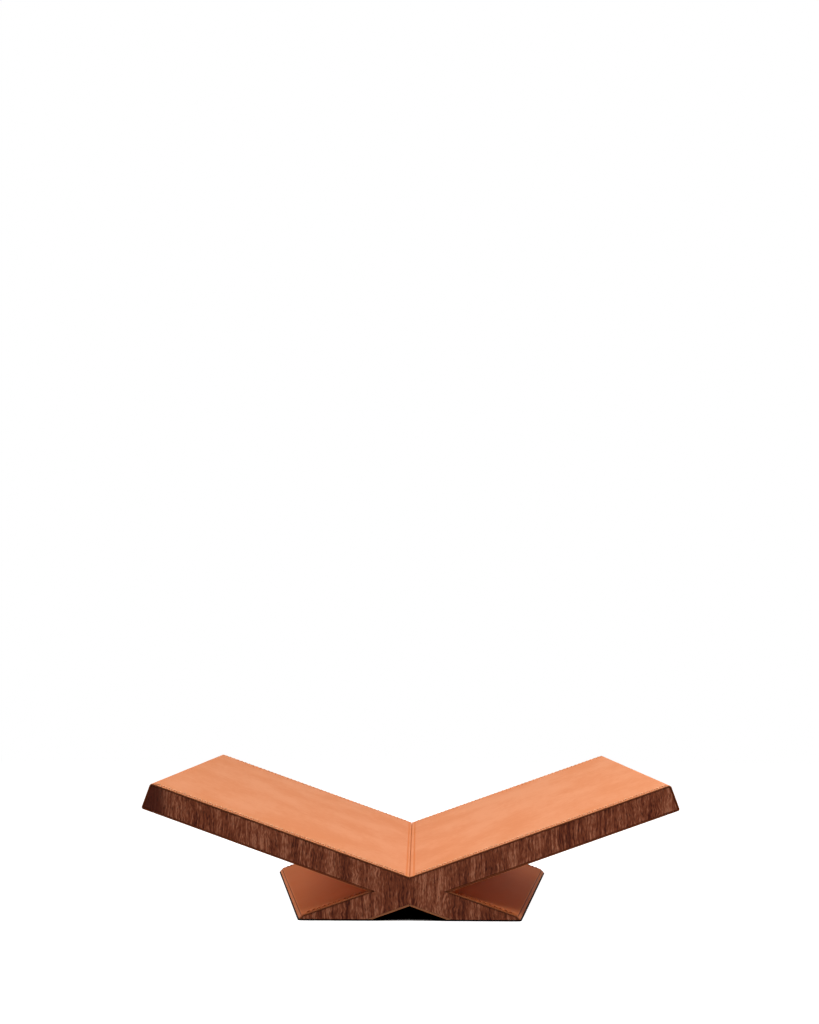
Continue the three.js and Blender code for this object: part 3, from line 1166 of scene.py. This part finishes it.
def add_floor():
    corners = np.array([[-1, -1, 0], [1, -1, 0], [1, 1, 0], [-1, 1, 0]]) * FLOOR_REACH
    mesh = bpy.data.meshes.new("studio_floor")
    mesh.from_pydata(corners, [], [(0, 1, 2, 3)])
    mesh.materials.append(floor_material())
    new_object("studio_floor", mesh)


def add_lamps():
    """Square softboxes that face the stand. A white face square to one gets its level of
    brightness: that is the lamp's power over the square of pi times the distance."""
    for name, (distance, bearing, rise, size) in LAMPS.items():
        light = bpy.data.lights.new(f"{name}_softbox", "AREA")
        light.size = size
        light.energy = getattr(settings().studio, f"{name}_level") * (math.pi * distance) ** 2
        round_stand = Matrix.Rotation(math.radians(bearing), 4, "Z")
        turn = round_stand @ Matrix.Rotation(QUARTER - math.radians(rise), 4, "X")
        away = Matrix.Translation((0, 0, distance))
        new_object(f"{name}_softbox", light).matrix_world = turn @ away


def add_camera():
    studio = settings().studio
    camera = bpy.data.cameras.new("camera")
    camera.sensor_width = studio.frame_height
    camera.lens = studio.focal_length
    camera.shift_y = studio.frame_shift
    camera.clip_start = NEAREST
    turn = (
        Matrix.Rotation(studio.camera_turn, 4, "Z")
        @ Matrix.Rotation(QUARTER + studio.camera_rise, 4, "X")
        @ Matrix.Rotation(studio.camera_roll, 4, "Z")
    )
    holder = new_object("camera", camera)
    holder.matrix_world = Matrix.Translation(studio.camera_place) @ turn
    bpy.context.scene.camera = holder


OPERATORS = (
    BOOK_STAND_OT_wing_covers,
    BOOK_STAND_OT_leg_covers,
    BOOK_STAND_OT_linings,
    BOOK_STAND_OT_stitching,
    BOOK_STAND_OT_soles,
    BOOK_STAND_OT_wood_and_boards,
    BOOK_STAND_OT_studio,
)


class BOOK_STAND_PT_panel(bpy.types.Panel):
    """Lists the stand's pieces in the order in which they are made"""

    bl_idname = "BOOK_STAND_PT_panel"
    bl_label = "Book Stand"
    bl_space_type = "VIEW_3D"
    bl_region_type = "UI"
    bl_category = "Book Stand"

    def draw(self, context):
        for operator in OPERATORS:
            self.layout.operator(operator.bl_idname)


CLASSES = (
    BookStandLeather,
    BookStandStitching,
    BookStandFelt,
    BookStandColours,
    BookStandStudio,
    BookStandSettings,
    *OPERATORS,
    BOOK_STAND_PT_panel,
)


def register():
    for item in CLASSES:
        bpy.utils.register_class(item)
    bpy.types.Scene.book_stand = PointerProperty(type=BookStandSettings)


def unregister():
    del bpy.types.Scene.book_stand
    for item in reversed(CLASSES):
        bpy.utils.unregister_class(item)


def main():
    register()
    for operator in OPERATORS:
        family, name = operator.bl_idname.split(".")
        getattr(getattr(bpy.ops, family), name)()


if __name__ == "__main__":
    main()
